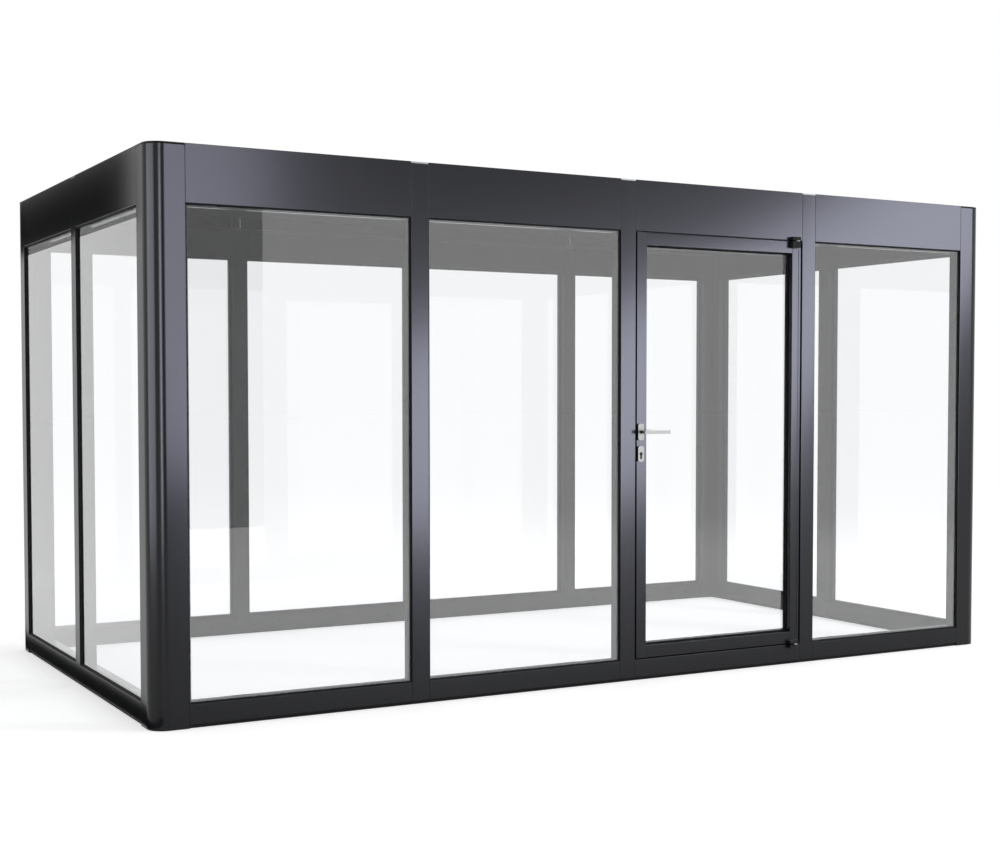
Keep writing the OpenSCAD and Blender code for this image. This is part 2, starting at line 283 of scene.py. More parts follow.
# Cast lever furniture, brushed along the bar and satin to the eye.
SATIN_NICKEL = Finish(
    "brushed_satin_nickel", "#CDD0CE", "#C0C3C2", 0.32, metallic=0.85, grain_mm=0.4, stretch=(0.15, 1, 1)
)
# Zinc-plated screws, brighter than the coated metal around them.
ZINC_PLATE = Finish("zinc_plated_steel", "#A8ABAE", "#8F9295", 0.35, metallic=1.0, grain_mm=0.4)
# Black cotton velvet on the studio cards, which gives back next to no light.
STUDIO_VELVET = Finish("black_cotton_velvet", "#030303", "#050505", 0.95, specular=0.0, grain_mm=0.5)
GLASS = FloatGlass()
# The street side is sealed double glazing with a hard coat, which mirrors more of the sky.
COATED_GLASS = FloatGlass("hard_coated_float_glass", ior=1.92)
# The end wall's solar-control coat is heavier still, so the wall turns milky at a slant.
SOLAR_GLASS = FloatGlass("solar_control_float_glass", ior=2.25)


# ---- Mesh helpers ----


def to_piece(
    work: bmesh.types.BMesh,
    name: str,
    finish: Finish | FloatGlass,
    body: Body,
    smooth_deg: float = 35.0,
) -> bpy.types.Object:
    """Turns a bmesh in the house's own frame into a dressed piece that rides on a body.

    Args:
        work: The mesh, which is freed.
        name: The piece's name.
        finish: What it is made of.
        body: The body that it moves with.
        smooth_deg: Edges sharper than this stay crisp.

    Returns:
        The finished object.
    """
    bmesh.ops.recalc_face_normals(work, faces=work.faces[:])
    mesh = bpy.data.meshes.new(name)
    work.to_mesh(mesh)
    work.free()
    mesh.polygons.foreach_set("use_smooth", [True] * len(mesh.polygons))
    mesh.set_sharp_from_angle(angle=math.radians(smooth_deg))
    mesh.materials.append(finish.material())
    piece = bpy.data.objects.new(name, mesh)
    bpy.context.scene.collection.objects.link(piece)
    weighted = piece.modifiers.new("even_shading", "WEIGHTED_NORMAL")
    weighted.keep_sharp = True
    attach(piece, body.value)
    if not mesh.polygons:
        raise ValueError(f"{name} came out with no faces")
    LOG.info("piece %s on %s: %d faces", name, body.value, len(mesh.polygons))
    return piece


def add_box(work: bmesh.types.BMesh, low: Sequence[float], high: Sequence[float]) -> list[bmesh.types.BMVert]:
    """Adds a box between two corners.

    Args:
        work: The mesh that takes it.
        low: Lowest corner in metres.
        high: Highest corner in metres.

    Returns:
        The box's vertices.
    """
    low_v, high_v = Vector(low), Vector(high)
    span = high_v - low_v
    matrix = Matrix.Translation((low_v + high_v) / 2) @ Matrix.Diagonal((*span, 1.0))
    return bmesh.ops.create_cube(work, size=1.0, matrix=matrix)["verts"]


def ease(work: bmesh.types.BMesh, width: float, segments: int = 2, angle_deg: float = 40.0) -> None:
    """Rounds every edge that turns more than an angle.

    Args:
        work: The mesh to round.
        width: Width of the rounding in metres.
        segments: Steps across the rounding.
        angle_deg: Flatter edges are left alone.
    """
    limit = math.radians(angle_deg)
    edges = [e for e in work.edges if len(e.link_faces) == 2 and e.calc_face_angle(0.0) > limit]
    bmesh.ops.bevel(
        work,
        geom=edges,
        offset=width,
        offset_type="OFFSET",
        segments=segments,
        profile=0.5,
        affect="EDGES",
        clamp_overlap=True,
        material=-1,
    )


def add_turned(
    work: bmesh.types.BMesh,
    centre: Sequence[float],
    axis: Sequence[float],
    profile: Sequence[tuple[float, float]],
    steps: int = 32,
) -> None:
    """Spins a profile round an axis, as on a lathe.

    Args:
        work: The mesh that takes it.
        centre: Where the profile's height is zero, in metres.
        axis: The direction that the profile's height grows in.
        profile: Points of radius and height in metres; the first and last have radius zero.
        steps: Steps of the full turn.
    """
    turned = bmesh.new()
    verts = [turned.verts.new((radius, 0.0, height)) for radius, height in profile]
    edges = [turned.edges.new(pair) for pair in zip(verts, verts[1:])]
    bmesh.ops.spin(
        turned,
        geom=verts + edges,
        cent=(0, 0, 0),
        axis=(0, 0, 1),
        angle=math.tau,
        steps=steps,
        use_merge=True,
        use_duplicate=False,
    )
    bmesh.ops.remove_doubles(turned, verts=turned.verts[:], dist=1e-6)
    turn = Vector(axis).normalized().to_track_quat("Z", "Y").to_matrix().to_4x4()
    bmesh.ops.transform(turned, matrix=Matrix.Translation(Vector(centre)) @ turn, verts=turned.verts[:])
    join(work, turned)


def join(work: bmesh.types.BMesh, other: bmesh.types.BMesh) -> None:
    """Moves all of one mesh into another.

    Args:
        work: The mesh that takes it.
        other: The mesh that is emptied and freed.
    """
    carrier = bpy.data.meshes.new("carrier")
    other.to_mesh(carrier)
    other.free()
    work.from_mesh(carrier)
    bpy.data.meshes.remove(carrier)


def add_ring(
    work: bmesh.types.BMesh,
    place: Matrix,
    width: float,
    height: float,
    band: float,
    depth: float,
    easing: float,
) -> None:
    """Adds a mitred rectangular ring, such as a glazing bead.

    Args:
        work: The mesh that takes it.
        place: Takes the ring's own frame, x right, y away, z up from its lower left corner, to the house's.
        width: Outer width in metres.
        height: Outer height in metres.
        band: Width of the ring's members.
        depth: Depth of the ring along y.
        easing: Rounding of its edges.
    """
    ring = bmesh.new()
    spot = Matrix.Translation((width / 2, 0, height / 2)) @ Matrix.Rotation(math.radians(90), 4, "X")
    bmesh.ops.create_grid(ring, x_segments=1, y_segments=1, size=0.5, matrix=spot @ Matrix.Diagonal((width, height, 1, 1)))
    inner = ring.faces[:]
    bmesh.ops.inset_region(ring, faces=inner, thickness=band, use_boundary=True, use_even_offset=True)
    bmesh.ops.delete(ring, geom=inner, context="FACES")
    grown = bmesh.ops.extrude_face_region(ring, geom=ring.faces[:])["geom"]
    moved = [v for v in grown if isinstance(v, bmesh.types.BMVert)]
    bmesh.ops.translate(ring, vec=(0, depth, 0), verts=moved)
    bmesh.ops.recalc_face_normals(ring, faces=ring.faces[:])
    ease(ring, easing, 1)
    bmesh.ops.transform(ring, matrix=place, verts=ring.verts[:])
    join(work, ring)


def islands(node: str) -> list[tuple[Vector, Vector]]:
    """Boxes of the separate solids of a CAD node, from left to right and front to back.

    Args:
        node: The node's name.

    Returns:
        The lowest and highest corner of each solid.
    """
    work = bmesh.new()
    work.from_mesh(frame["nodes"][node].data)
    bmesh.ops.remove_doubles(work, verts=work.verts[:], dist=1e-5)
    left = set(work.verts)
    found = []
    while left:
        seed = left.pop()
        group, queue = [seed], [seed]
        while queue:
            for edge in queue.pop().link_edges:
                for vert in edge.verts:
                    if vert in left:
                        left.remove(vert)
                        group.append(vert)
                        queue.append(vert)
        low = Vector([min(v.co[i] for v in group) for i in range(3)])
        high = Vector([max(v.co[i] for v in group) for i in range(3)])
        found.append((low, high))
    work.free()
    return sorted(found, key=lambda b: (round(b[0].x, 3), round(b[0].y, 3), round(b[0].z, 3)))


# ---- Sub-assemblies ----


@dataclass
class Profiles:
    """The coated extrusions of the house, drawn again from the CAD solids with eased edges."""

    easing: float = 1.6 * MM
    finishes: dict[str, tuple[Finish, str, Body]] = field(default_factory=dict)

    def __post_init__(self) -> None:
        """Lists which node gets which finish and body, with a slot name that the build leaves unused."""
        coated = (POWDER_COAT, "frame", Body.HOUSE)
        sheet = (COATED_SHEET, "roof_metal", Body.HOUSE)
        door = (POWDER_COAT, "door_frame", Body.DOOR)
        corners = ["front_left", "front_right", "rear_left", "rear_right"]
        sides = ["front", "rear", "left", "right"]
        names = [f"corner_post_{c}" for c in corners] + ["front_posts", "rear_posts", "side_posts"]
        names += [f"{s}_fascia" for s in sides] + [f"{s}_rail" for s in sides] + ["door_stops"]
        self.finishes.update({name: coated for name in names})
        self.finishes.update({name: sheet for name in ("roof_ledge", "roof_deck", "roof_frame")})
        stiles = ("door_lock_stile", "door_hinge_stile", "door_top_rail", "door_bottom_rail")
        self.finishes.update({name: door for name in stiles})
        self.finishes["corner_caps"] = (CAP_COAT, "cap_dark", Body.HOUSE)
        self.finishes["post_caps"] = (MILL_ALUMINIUM, "cap_light", Body.HOUSE)
        self.finishes["hinge_blocks"] = (CAST_ZINC_AND_SHADE, "hinge_black", Body.HOUSE)
        self.finishes["door_hinge_arms"] = (CAST_ZINC_AND_SHADE, "hinge_black", Body.DOOR)
        self.finishes["handle_roses"] = (SATIN_NICKEL, "handle_metal", Body.DOOR)
        self.finishes["lock_escutcheons"] = (SATIN_NICKEL, "handle_metal", Body.DOOR)

    def build(self) -> None:
        """Makes one eased piece for each listed node."""
        for node, (finish, slot, body) in self.finishes.items():
            work = bmesh.new()
            work.from_mesh(frame["nodes"][node].data)
            bmesh.ops.remove_doubles(work, verts=work.verts[:], dist=1e-5)
            bmesh.ops.dissolve_limit(
                work,
                angle_limit=math.radians(0.5),
                use_dissolve_boundaries=False,
                verts=work.verts[:],
                edges=work.edges[:],
            )
            ease(work, self.easing)
            piece = to_piece(work, f"{node}_eased", finish, body)
            # The bright plates get black rims: painted shade for the dark reflection on their sides.
            if finish is SATIN_NICKEL:
                self._paint_rim_shade(piece)
            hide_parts(node)

    def _paint_rim_shade(self, piece: bpy.types.Object) -> None:
        """Leaves the face of a plate bright and paints its rim black, as painted shade for the dark reflection
        on the rim's sides.

        Args:
            piece: The plate.
        """
        piece.data.materials.append(CAST_ZINC_AND_SHADE.material())
        for polygon in piece.data.polygons:
            if abs(polygon.normal.y) < 0.35:
                polygon.material_index = 1


@dataclass
class PlainNodes:
    """The CAD nodes whose shape is right as it is, and which only need their finish."""

    finishes: dict[str, Finish | FloatGlass] = field(default_factory=dict)

    def build(self) -> None:
        """Gives each node its finish."""
        coated = ("front_glass", "door_glass")
        panes = ("rear_glass", "right_glass", "roof_glass")
        seals = ("front_seals", "rear_seals", "left_seals", "right_seals", "door_seal", "ground_strips")
        self.finishes.update({name: COATED_GLASS for name in coated})
        self.finishes.update({name: GLASS for name in panes})
        self.finishes.update({name: EPDM_AND_SHADE for name in seals})
        self.finishes["left_glass"] = SOLAR_GLASS
        self.finishes["hinge_pins"] = TURNED_STEEL
        self.finishes["lock_cylinder"] = CAST_ZINC_AND_SHADE
        for node, finish in self.finishes.items():
            target = frame["nodes"][node]
            if not target.material_slots:
                target.data.materials.append(None)
            for place in target.material_slots:
                place.material = finish.material()
            LOG.info("node %s dressed in %s", node, finish.name)


@dataclass
class GlazingBeads:
    """The snap-in aluminium beads that hold each pane from the inside."""

    band: float = 14 * MM
    depth: float = 22 * MM
    easing: float = 1.5 * MM

    def build(self) -> None:
        """Makes a ring of beads behind every fixed pane, and behind the door's pane."""
        front_seal = islands("front_seals")
        self._wall("front_beads", front_seal, Vector((0, 1, 0)))
        self._wall("rear_beads", islands("rear_seals"), Vector((0, -1, 0)))
        self._wall("left_beads", islands("left_seals"), Vector((1, 0, 0)))
        self._wall("right_beads", islands("right_seals"), Vector((-1, 0, 0)))
        self._door("door_beads")

    def _door(self, name: str) -> None:
        """Makes the ring of beads behind the door's pane.

        Args:
            name: The piece's name.
        """
        low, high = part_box("door_seal")
        pane_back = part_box("door_glass")[1].y
        leaf_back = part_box("door_lock_stile")[1].y
        work = bmesh.new()
        place = Matrix.Translation((low.x, pane_back + 0.3 * MM, low.z))
        depth = leaf_back - pane_back - 1.5 * MM
        add_ring(work, place, high.x - low.x, high.z - low.z, self.band, depth, 0.6 * MM)
        to_piece(work, name, POWDER_COAT, Body.DOOR)

    def _wall(self, name: str, seals: Iterable[tuple[Vector, Vector]], inward: Vector) -> None:
        """Makes the rings of one wall.

        Args:
            name: The piece's name.
            seals: Boxes of the wall's seals, which the beads press on.
            inward: Direction from the wall's outer face into the house.
        """
        work = bmesh.new()
        for low, high in seals:
            along = Vector((abs(inward.y), abs(inward.x), 0))
            width = (high - low).dot(along)
            inner_face = high if inward.dot(Vector((1, 1, 1))) > 0 else low
            start = Vector((low.x, low.y, low.z))
            if inward.y:
                start.y = inner_face.y
            else:
                start.x = inner_face.x
            place = Matrix.Identity(4)
            place.col[0] = (*along, 0)
            place.col[1] = (*inward, 0)
            place.col[3] = (*start, 1)
            add_ring(work, place, width, high.z - low.z, self.band, self.depth, self.easing)
        to_piece(work, name, POWDER_COAT, Body.HOUSE)


@dataclass
class Lever:
    """One lever of the door handle: a turned neck that sweeps into a flat bar with eased edges."""

    node: str
    outward: float
    easing: float = 2.2 * MM

    def build(self) -> None:
        """Makes the lever over its CAD solid and stands in for it."""
        low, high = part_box(self.node)
        bar_h = high.z - low.z
        thick = 13 * MM
        spindle_x = low.x + bar_h / 2
        mid_z = (low.z + high.z) / 2
        tip_y = low.y if self.outward < 0 else high.y
        near_y = tip_y - self.outward * thick
        work = bmesh.new()
        add_box(
            work,
            (low.x, min(tip_y, near_y), low.z),
            (high.x, max(tip_y, near_y), high.z),
        )
        uprights = [
            e for e in work.edges if abs((e.verts[0].co - e.verts[1].co).normalized().y) > 0.9
        ]
        bmesh.ops.bevel(
            work, geom=uprights, offset=bar_h * 0.2, offset_type="OFFSET", segments=6,
            profile=0.5, affect="EDGES", clamp_overlap=True, material=-1,
        )
        ease(work, self.easing, 4)
        rose_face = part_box("handle_roses")[0 if self.outward < 0 else 1].y
        neck = abs(near_y - rose_face) - 0.3 * MM
        radius = bar_h / 2 - 0.4 * MM
        profile = [
            (0.0, 0.0),
            (radius * 0.92, 0.0),
            (radius, 0.8 * MM),
            (radius, 4 * MM),
            (radius * 0.78, 7 * MM),
            (radius * 0.74, neck * 0.6),
            (radius * 0.86, neck - 4 * MM),
            (radius, neck + 1 * MM),
            (radius * 0.6, neck + 3 * MM),
            (0.0, neck + 3 * MM),
        ]
        start_y = rose_face + self.outward * 0.3 * MM
        neck_work = bmesh.new()
        add_turned(neck_work, (spindle_x, start_y, mid_z), (0, self.outward, 0), profile)
        if self.outward < 0:
            self._spindle(neck_work, spindle_x, mid_z)
        # The neck takes the black zinc finish: painted shade for the dark reflection that the neck shows.
        to_piece(neck_work, f"{self.node}_neck", CAST_ZINC_AND_SHADE, Body.LEVER)
        piece = to_piece(work, f"{self.node}_bar", SATIN_NICKEL, Body.LEVER)
        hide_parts(self.node)

    def _spindle(self, work: bmesh.types.BMesh, x: float, z: float) -> None:
        """Adds the square spindle that joins the two levers through the door.

        Args:
            work: The lever's mesh.
            x: Place of the spindle across the door.
            z: Height of the spindle.
        """
        half = 2.8 * MM
        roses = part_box("handle_roses")
        add_box(work, (x - half, roses[0].y - 0.3 * MM, z - half), (x + half, roses[1].y + 0.3 * MM, z + half))


@dataclass
class Screws:
    """Screw heads with a shallow round recess or a hex, laid out where each fitting is fixed."""

    steps: int = 20

    def pan_head(self, work: bmesh.types.BMesh, at: Sequence[float], axis: Sequence[float], r: float) -> None:
        """Adds a low domed head.

        Args:
            work: The mesh that takes it.
            at: Centre of the head's seat.
            axis: Direction that the head faces.
            r: Radius of the head.
        """
        dome = [(0.0, 0.0), (r, 0.0), (r, r * 0.16), (r * 0.8, r * 0.38), (r * 0.34, r * 0.46)]
        recess = [(r * 0.3, r * 0.2), (0.0, r * 0.12)]
        add_turned(work, at, axis, dome + recess, self.steps)

    def hex_head(self, work: bmesh.types.BMesh, at: Sequence[float], axis: Sequence[float], r: float) -> None:
        """Adds a hex head on a washer.

        Args:
            work: The mesh that takes it.
            at: Centre of the washer's seat.
            axis: Direction that the head faces.
            r: Radius across the hex's corners.
        """
        washer = [(0.0, 0.0), (r * 1.5, 0.0), (r * 1.5, r * 0.18), (0.0, r * 0.18)]
        add_turned(work, at, axis, washer, self.steps)
        direction = Vector(axis).normalized()
        add_turned(
            work,
            Vector(at) + direction * r * 0.18,
            axis,
            [(0.0, 0.0), (r, 0.0), (r, r * 0.6), (r * 0.86, r * 0.72), (0.0, r * 0.72)],
            6,
        )


@dataclass
class HouseFittings:
    """Small fixed pieces of the walls: head cleats, anchor bolts and cap screws."""

    screws: Screws = field(default_factory=Screws)
    cleat_w: float = 8 * MM
    cleat_t: float = 3 * MM

    def build(self) -> None:
        """Makes the pieces."""
        self._head_cleats()
        self._anchor_bolts()
        self._cap_screws()

    def _head_cleats(self) -> None:
        """Puts a bare metal cleat on the head of each intermediate post, inside, over the ledge."""
        ledge_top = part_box("roof_ledge")[1].z
        deck_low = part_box("roof_deck")[0].z
        work = bmesh.new()
        for low, high, inward in self._posts():
            centre = (low + high) / 2
            face = centre + Vector((inward.x * (high.x - low.x) / 2, inward.y * (high.y - low.y) / 2, 0))
            side = Vector((abs(inward.y), abs(inward.x), 0)) * self.cleat_w / 2
            a = face - side
            b = face + side + inward * self.cleat_t
            corner_low = Vector((min(a.x, b.x), min(a.y, b.y), ledge_top + 4 * MM))
            corner_high = Vector((max(a.x, b.x), max(a.y, b.y), deck_low - 6 * MM))
            cleat = bmesh.new()
            add_box(cleat, corner_low, corner_high)
            ease(cleat, 0.8 * MM, 2)
            join(work, cleat)
        to_piece(work, "post_head_cleats", MILL_ALUMINIUM, Body.HOUSE)

    def _posts(self) -> list[tuple[Vector, Vector, Vector]]:
        """Lists the intermediate posts.

        Returns:
            The box of each post and the direction into the house.
        """
        inward = {"front_posts": Vector((0, 1, 0)), "rear_posts": Vector((0, -1, 0))}
        found = [(low, high, way) for node, way in inward.items() for low, high in islands(node)]
        for low, high in islands("side_posts"):
            found.append((low, high, Vector((1 if low.x < 0 else -1, 0, 0))))
        return found

    def _anchor_bolts(self) -> None:
        """Puts two anchor bolts in the inner face of each base rail."""
        work = bmesh.new()
        walls = {
            "front_rail": Vector((0, 1, 0)),
            "rear_rail": Vector((0, -1, 0)),
            "left_rail": Vector((1, 0, 0)),
            "right_rail": Vector((-1, 0, 0)),
        }
        for node, inward in walls.items():
            for low, high in islands(node):
                along = Vector((abs(inward.y), abs(inward.x), 0))
                length = (high - low).dot(along)
                face = (low + high) / 2
                face += Vector((inward.x * (high.x - low.x) / 2, inward.y * (high.y - low.y) / 2, -8 * MM))
                for share in (-0.36, 0.36):
                    self.screws.hex_head(work, face + along * length * share, inward, 8 * MM)
        to_piece(work, "anchor_bolts", CAST_ZINC_AND_SHADE, Body.HOUSE)

    def _cap_screws(self) -> None:
        """Recesses a small screw head in each light cap."""
        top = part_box("post_caps")[1].z
        work = bmesh.new()
        for low, high in islands("post_caps"):
            centre = (low + high) / 2
            self.screws.pan_head(work, (centre.x, centre.y, top - 1.9 * MM), (0, 0, 1), 4 * MM)
        to_piece(work, "cap_screws", ZINC_PLATE, Body.HOUSE)


@dataclass
class DoorFittings:
    """What the door carries besides its frame: hinge screws, latch plate, key plug and seals."""

    screws: Screws = field(default_factory=Screws)

    def build(self) -> None:
        """Makes the pieces."""
        self._hinge_screws()
        self._latch()
        self._key_plug()
        self._seals()
        self._weather_bar()

    def _hinge_screws(self) -> None:
        """Puts two screws in the face of each hinge arm, and two in each hinge block."""
        for node, name, body in (
            ("door_hinge_arms", "hinge_arm_screws", Body.DOOR),
            ("hinge_blocks", "hinge_block_screws", Body.HOUSE),
        ):
            work = bmesh.new()
            for low, high in islands(node):
                z = (low.z + high.z) / 2
                for share in (0.18, 0.52):
                    x = low.x + (high.x - low.x) * share
                    self.screws.pan_head(work, (x, low.y, z), (0, -1, 0), 3.6 * MM)
            to_piece(work, name, CAST_ZINC_AND_SHADE, body)

    def _latch(self) -> None:
        """Makes the lock's face plate with its bolt, and the strike plate in the post."""
        low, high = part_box("door_lock_stile")
        key_low, key_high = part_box("lock_escutcheons")
        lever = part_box("handle_roses")
        mid_y = (low.y + high.y) / 2
        plate = bmesh.new()
        add_box(
            plate,
            (low.x - 0.5 * MM, mid_y - 11 * MM, key_low.z - 45 * MM),
            (low.x + 0.5 * MM, mid_y + 11 * MM, lever[1].z + 15 * MM),
        )
        ease(plate, 0.2 * MM, 2)
        bolt_z = (lever[0].z + lever[1].z) / 2 - 20 * MM
        add_box(
            plate,
            (low.x - 1.0 * MM, mid_y - 6 * MM, bolt_z - 12 * MM),
            (low.x + 1 * MM, mid_y + 6 * MM, bolt_z + 12 * MM),
        )
        for z in (key_low.z - 35 * MM, lever[1].z + 6 * MM):
            self.screws.pan_head(plate, (low.x - 0.4 * MM, mid_y, z), (-1, 0, 0), 2 * MM)
        to_piece(plate, "lock_face_plate", TURNED_STEEL, Body.DOOR)
        strike = bmesh.new()
        post = [b for b in islands("front_posts") if b[1].x < low.x][-1]
        add_box(
            strike,
            (post[1].x - 0.5 * MM, mid_y - 13 * MM, key_low.z - 20 * MM),
            (post[1].x + 0.4 * MM, mid_y + 13 * MM, lever[1].z),
        )
        ease(strike, 0.2 * MM, 2)
        to_piece(strike, "strike_plate", TURNED_STEEL, Body.HOUSE)

    def _key_plug(self) -> None:
        """Makes the turning plug of the lock on both faces of the door, with a black box on each face as
        painted shade for the key slot.
        """
        low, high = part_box("lock_cylinder")
        centre_x = (low.x + high.x) / 2
        radius = (high.x - low.x) / 2
        centre_z = high.z - radius
        work = bmesh.new()
        rim = [(0.0, -1 * MM), (6.4 * MM, -1 * MM), (6.4 * MM, 0.5 * MM), (5.9 * MM, 0.9 * MM), (0.0, 0.9 * MM)]
        for y, way in ((low.y, -1.0), (high.y, 1.0)):
            add_turned(work, (centre_x, y, centre_z), (0, way, 0), rim, 28)
        to_piece(work, "key_plugs", CAST_ZINC_AND_SHADE, Body.DOOR)
        # The key slot is a thin black box on the plug's face: painted shade for the recess of the slot.
        slots = bmesh.new()
        for y, way in ((low.y, -1.0), (high.y, 1.0)):
            outer = y + way * 1.05 * MM
            add_box(
                slots,
                (centre_x - 0.9 * MM, min(y, outer), centre_z - 4.6 * MM),
                (centre_x + 0.9 * MM, max(y, outer), centre_z + 3.6 * MM),
            )
        to_piece(slots, "key_slots", EPDM_AND_SHADE, Body.DOOR)

    def _seals(self) -> None:
        """Makes the bulb seals on the door stops."""
        work = bmesh.new()
        for low, high in islands("door_stops"):
            height = high.z - low.z
            bulb = bmesh.new()
            add_box(
                bulb,
                (low.x + 2 * MM, low.y - 9 * MM, low.z + height * 0.25),
                (high.x - 2 * MM, low.y, high.z - height * 0.25),
            )
            ease(bulb, 3 * MM, 4)
            join(work, bulb)
        to_piece(work, "door_stop_seals", EPDM_AND_SHADE, Body.HOUSE)

    def _weather_bar(self) -> None:
        """Makes the slim lip along the hinge stile that throws a line of light down the door."""
        low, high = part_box("door_hinge_stile")
        arms = islands("door_hinge_arms")
        work = bmesh.new()
        bottom = min(a[1].z for a in arms) + 4 * MM
        top = max(a[0].z for a in arms) - 4 * MM
        x = high.x - 12 * MM
        add_box(work, (x - 3 * MM, low.y - 2 * MM, bottom), (x + 3 * MM, low.y + 0.2 * MM, top))
        ease(work, 0.8 * MM, 2)
        to_piece(work, "hinge_stile_lip", POWDER_COAT, Body.DOOR)


@dataclass
class RoofFittings:
    """Pane gaskets, deck seams, cover screws and two rain outlets on the hidden roof."""

    screws: Screws = field(default_factory=Screws)
    seam_w: float = 14 * MM
    seam_h: float = 3 * MM

    def build(self) -> None:
        """Makes the pieces."""
        self._pane_gaskets()
        self._deck_seams()
        self._outlets()

    def _pane_gaskets(self) -> None:
        """Fills the gap round each roof pane with a gasket."""
        work = bmesh.new()
        for low, high in islands("roof_glass"):
            gap = 2 * MM
            flat = Matrix(((1, 0, 0, low.x - gap), (0, 0, 1, low.y - gap), (0, 1, 0, high.z), (0, 0, 0, 1)))
            add_ring(
                work, flat, high.x - low.x + 2 * gap, high.y - low.y + 2 * gap, 9 * MM, 1.8 * MM, 0.5 * MM
            )
        to_piece(work, "roof_pane_gaskets", EPDM_AND_SHADE, Body.HOUSE)

    def _deck_seams(self) -> None:
        """Lays a folded seam across the deck at each post line, front and rear."""
        low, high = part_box("roof_deck")
        inner_low, inner_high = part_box("roof_frame")
        work = bmesh.new()
        for post_low, post_high in islands("front_posts"):
            x = (post_low.x + post_high.x) / 2
            for y0, y1 in ((low.y, inner_low.y), (inner_high.y, high.y)):
                seam = bmesh.new()
                add_box(
                    seam,
                    (x - self.seam_w / 2, y0 + 1 * MM, high.z - 0.2 * MM),
                    (x + self.seam_w / 2, y1 - 1 * MM, high.z + self.seam_h),
                )
                ease(seam, 1 * MM, 2)
                join(work, seam)
        to_piece(work, "deck_seams", COATED_SHEET, Body.HOUSE)

    def _outlets(self) -> None:
        """Sets a domed rain outlet in the deck near each rear corner."""
        low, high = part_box("roof_deck")
        work = bmesh.new()
        for x in (low.x + 0.2, high.x - 0.2):
            r = 40 * MM
            dome = [(0.0, -0.2 * MM), (r, -0.2 * MM), (r, 3 * MM), (r * 0.72, 4 * MM), (r * 0.7, 14 * MM)]
            add_turned(work, (x, high.y - 0.2, high.z), (0, 0, 1), dome + [(r * 0.4, 22 * MM), (0.0, 24 * MM)])
            for k in range(12):
                angle = math.tau * k / 12
                spot = Vector((x + math.cos(angle) * r * 0.86, high.y - 0.2 + math.sin(angle) * r * 0.86, high.z + 3 * MM))
                self.screws.pan_head(work, spot, (0, 0, 1), 2.4 * MM)
        to_piece(work, "rain_outlets", CAST_ZINC_AND_SHADE, Body.HOUSE)


@dataclass(frozen=True)
class Lamp:
    """A soft rectangular lamp, or a card of light that only shows in glossy metal."""

    name: str
    place: tuple[float, float, float]
    aim: tuple[float, float, float]
    size: tuple[float, float]
    radiance: float
    tint: str = "#FFFFFF"
    steps: int = 0
    tilt_deg: float = 0.0
    fade: float = 0.9

    def build(self, shy: bpy.types.Collection) -> None:
        """Adds the lamp, or the nested cards that fade out towards the rim.

        Args:
            shy: The glazing and bright metal, which a card of light doesn't reach.
        """
        for step in range(max(1, self.steps)):
            data = bpy.data.lights.new(f"{self.name}_{step}", "AREA")
            data.shape = "RECTANGLE"
            grow = self.fade * step
            data.size, data.size_y = self.size[0] + grow, self.size[1] + grow
            data.energy = self.radiance / max(1, self.steps) * math.pi * data.size * data.size_y
            data.color = linear(self.tint)[:3]
            lamp = bpy.data.objects.new(f"{self.name}_{step}", data)
            lamp.location = self.place
            facing = (Vector(self.aim) - Vector(self.place)).to_track_quat("-Z", "Y")
            tilt = Matrix.Rotation(math.radians(self.tilt_deg), 4, "Z")
            lamp.rotation_euler = (facing.to_matrix().to_4x4() @ tilt).to_euler()
            lamp.visible_camera = False
            lamp.visible_transmission = False
            bpy.context.scene.collection.objects.link(lamp)
            if self.steps:
                lamp.visible_diffuse = False
                lamp.light_linking.receiver_collection = shy


@dataclass(frozen=True)
class Flag:
    """A black card that takes the white surrounding out of part of a reflection."""

    name: str
    low: tuple[float, float, float]
    high: tuple[float, float, float]

    def build(self, finish: Finish) -> None:
        """Adds the card, which shows in reflections only.

        Args:
            finish: What it is covered in.
        """
        work = bmesh.new()
        add_box(work, self.low, self.high)
        ease(work, 0.5 * MM, 1)
        mesh = bpy.data.meshes.new(self.name)
        work.to_mesh(mesh)
        work.free()
        mesh.materials.append(finish.material())
        flag = bpy.data.objects.new(self.name, mesh)
        bpy.context.scene.collection.objects.link(flag)
        for ray in ("camera", "diffuse", "transmission", "volume_scatter", "shadow"):
            setattr(flag, f"visible_{ray}", False)


